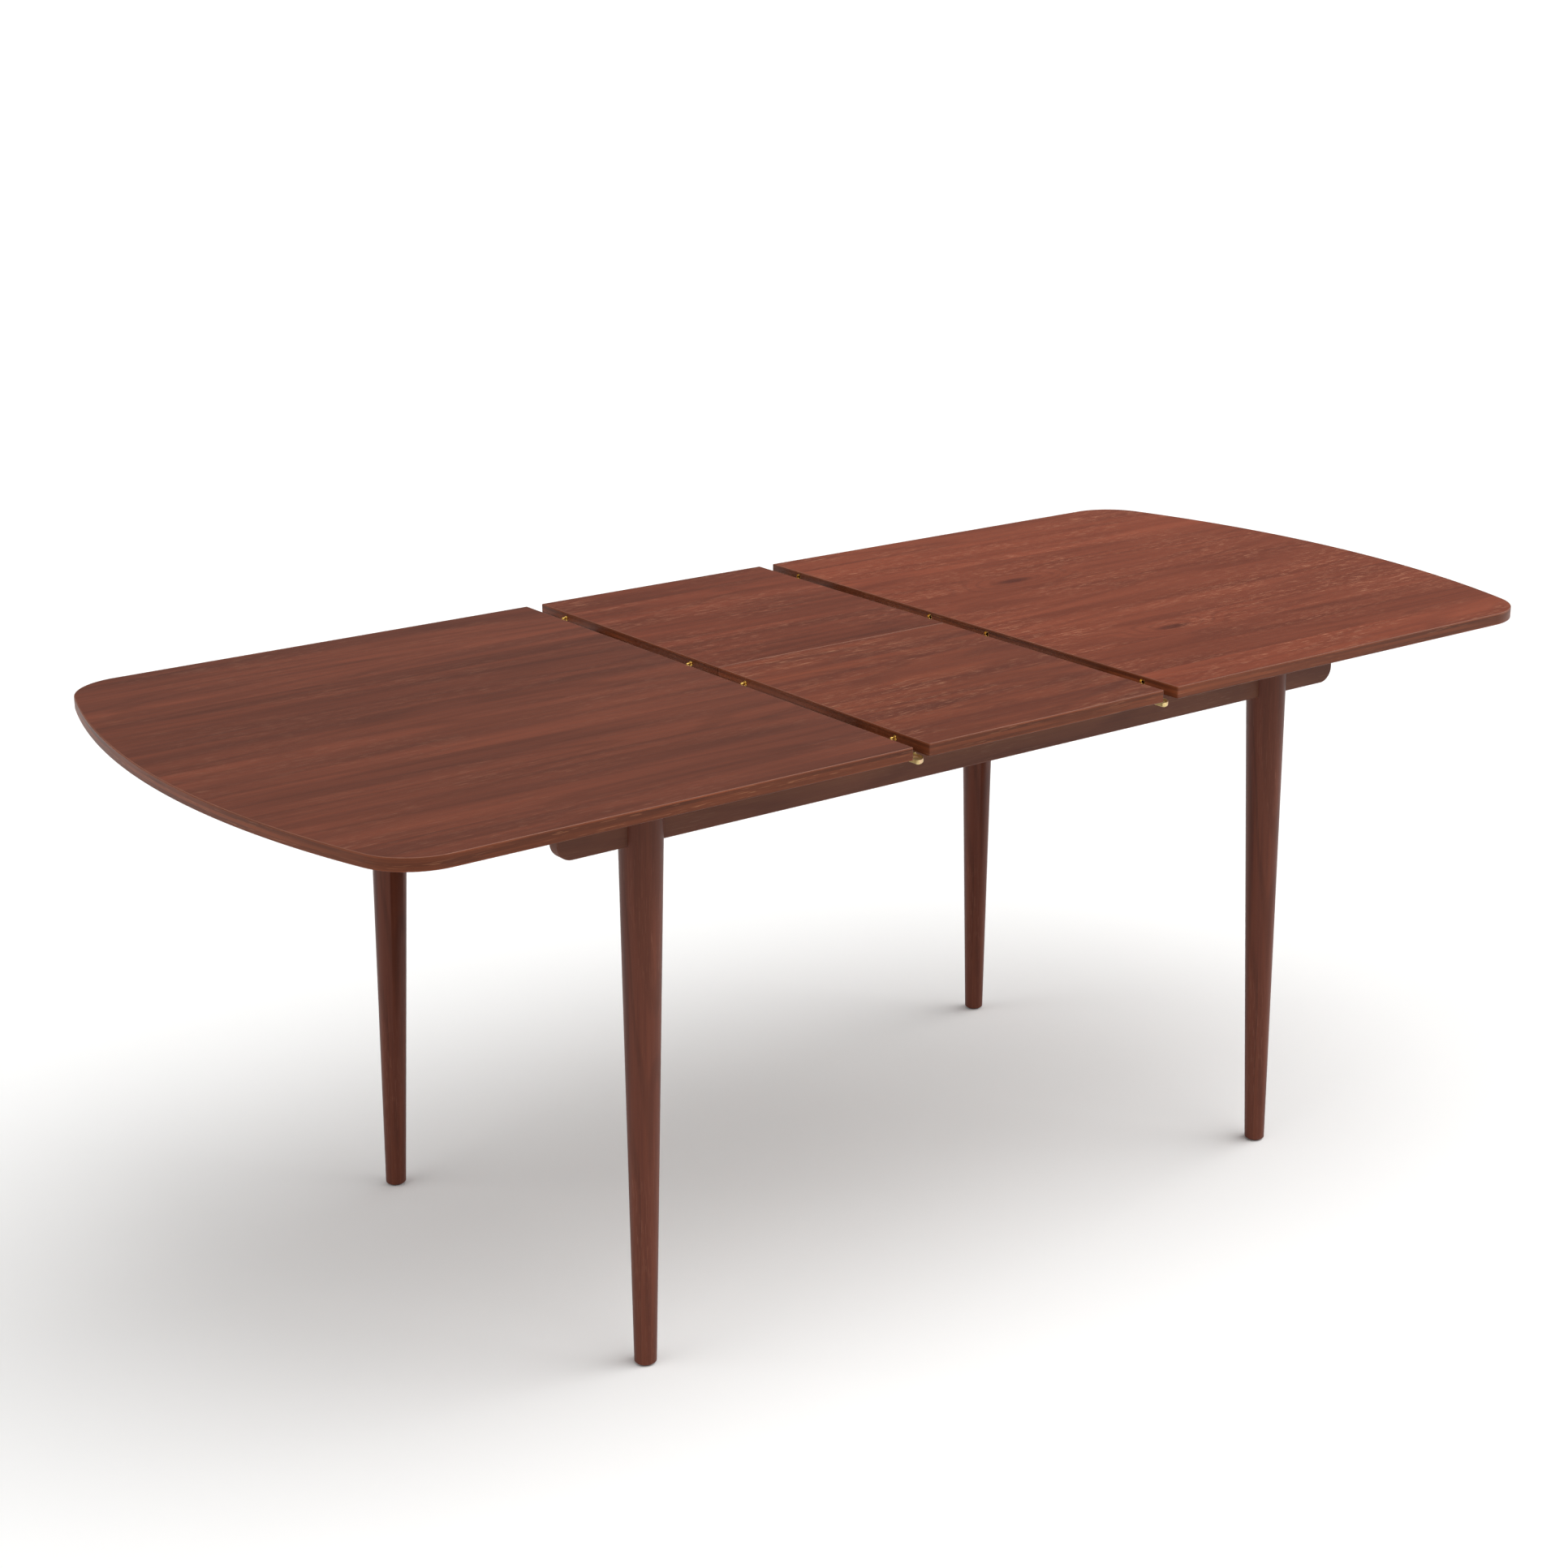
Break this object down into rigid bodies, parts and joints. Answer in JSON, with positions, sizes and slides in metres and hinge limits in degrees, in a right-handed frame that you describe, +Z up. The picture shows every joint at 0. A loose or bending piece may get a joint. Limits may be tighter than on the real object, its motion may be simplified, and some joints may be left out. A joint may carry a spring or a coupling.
{
  "type": "extendable dining table",
  "caption": "Extendable dining table with bowed end tops that slide apart, a hinged lift-out centre leaf, pins, swing locks and splayed round tapered legs.",
  "frame": {"origin": "on the floor, under the middle of the table", "axes": "+X along the table's length, -Y towards the near long side, +Z up"},
  "size_m": [1.928, 0.85, 0.75],
  "materials": {
    "top_veneer": "satin lacquered walnut veneer",
    "apron_stained_wood": "walnut stained beech, matt lacquer",
    "leg_stained_wood": "walnut stained turned beech, satin lacquer",
    "raw_hardwood": "unfinished beech",
    "zinc_steel": "bright zinc plated",
    "yellow_zinc_steel": "yellow zinc plated pressed steel",
    "brass": "turned brass",
    "felt": "pressed felt"
  },
  "bodies": {
    "frame": {"apron_front": "apron_stained_wood", "apron_rear": "apron_stained_wood", "cross_rail_left": "raw_hardwood", "cross_rail_right": "raw_hardwood", "foot_glide_front_left": "felt", "foot_glide_front_right": "felt", "foot_glide_rear_left": "felt", "foot_glide_rear_right": "felt", "leaf_bearer_front": "raw_hardwood", "leaf_bearer_rear": "raw_hardwood", "leg_bolt_front_left": "zinc_steel", "leg_bolt_front_right": "zinc_steel", "leg_bolt_rear_left": "zinc_steel", "leg_bolt_rear_right": "zinc_steel", "leg_front_left": "leg_stained_wood", "leg_front_right": "leg_stained_wood", "leg_rear_left": "leg_stained_wood", "leg_rear_right": "leg_stained_wood", "slide_channel_front": "zinc_steel", "slide_channel_rear": "zinc_steel"},
    "left_end_top": {"pin_socket_left_front_inner": "brass", "pin_socket_left_front_outer": "brass", "pin_socket_left_rear_inner": "brass", "pin_socket_left_rear_outer": "brass", "runner_left_front": "raw_hardwood", "runner_left_rear": "raw_hardwood", "tabletop_left": "top_veneer", "lock_plate_left_front": "yellow_zinc_steel", "lock_plate_left_rear": "yellow_zinc_steel"},
    "right_end_top": {"pin_socket_right_front_inner": "brass", "pin_socket_right_front_outer": "brass", "pin_socket_right_rear_inner": "brass", "pin_socket_right_rear_outer": "brass", "runner_right_front": "raw_hardwood", "runner_right_rear": "raw_hardwood", "tabletop_right": "top_veneer", "lock_stud_right_front": "zinc_steel", "lock_stud_right_rear": "zinc_steel"},
    "leaf_front_half": {"leaf_front": "top_veneer", "lock_plate_right_front": "yellow_zinc_steel", "lock_stud_left_front": "zinc_steel", "hinge_barrel_left_front": "brass", "hinge_barrel_right_front": "brass", "leaf_pin_left_front_inner": "brass", "leaf_pin_left_front_outer": "brass", "leaf_pin_right_front_inner": "brass", "leaf_pin_right_front_outer": "brass"},
    "leaf_rear_half": {"leaf_rear": "top_veneer", "lock_plate_right_rear": "yellow_zinc_steel", "lock_stud_left_rear": "zinc_steel", "hinge_barrel_left_rear": "brass", "hinge_barrel_right_rear": "brass", "leaf_pin_left_rear_inner": "brass", "leaf_pin_left_rear_outer": "brass", "leaf_pin_right_rear_inner": "brass", "leaf_pin_right_rear_outer": "brass"},
    "lever_left_front": {"lock_lever_left_front": "yellow_zinc_steel"},
    "lever_left_rear": {"lock_lever_left_rear": "yellow_zinc_steel"},
    "lever_right_front": {"lock_lever_right_front": "yellow_zinc_steel"},
    "lever_right_rear": {"lock_lever_right_rear": "yellow_zinc_steel"}
  },
  "joints": [
    {"name": "left_top_slide", "type": "slide", "parent": "frame", "child": "left_end_top", "axis": [-1, 0, 0], "range_m": [-0.0225, 0.06]},
    {"name": "right_top_slide", "type": "slide", "parent": "frame", "child": "right_end_top", "axis": [1, 0, 0], "range_m": [-0.0225, 0.06]},
    {"name": "leaf_lift", "type": "slide", "parent": "frame", "child": "leaf_front_half", "axis": [0, 0, 1], "range_m": [0, 0.3]},
    {"name": "leaf_fold", "type": "hinge", "parent": "leaf_front_half", "child": "leaf_rear_half", "pos_m": [0, 0, 0.7505], "axis": [1, 0, 0], "range_deg": [0, 180]},
    {"name": "lock_left_front_swing", "type": "hinge", "parent": "left_end_top", "child": "lever_left_front", "pos_m": [-0.238, -0.39, 0.727], "axis": [0, 0, 1], "range_deg": [0, 40]},
    {"name": "lock_left_rear_swing", "type": "hinge", "parent": "left_end_top", "child": "lever_left_rear", "pos_m": [-0.238, 0.39, 0.727], "axis": [0, 0, -1], "range_deg": [0, 40]},
    {"name": "lock_right_front_swing", "type": "hinge", "parent": "leaf_front_half", "child": "lever_right_front", "pos_m": [0.1605, -0.39, 0.727], "axis": [0, 0, 1], "range_deg": [0, 40]},
    {"name": "lock_right_rear_swing", "type": "hinge", "parent": "leaf_rear_half", "child": "lever_right_rear", "pos_m": [0.1605, 0.39, 0.727], "axis": [0, 0, -1], "range_deg": [0, 40]}
  ]
}
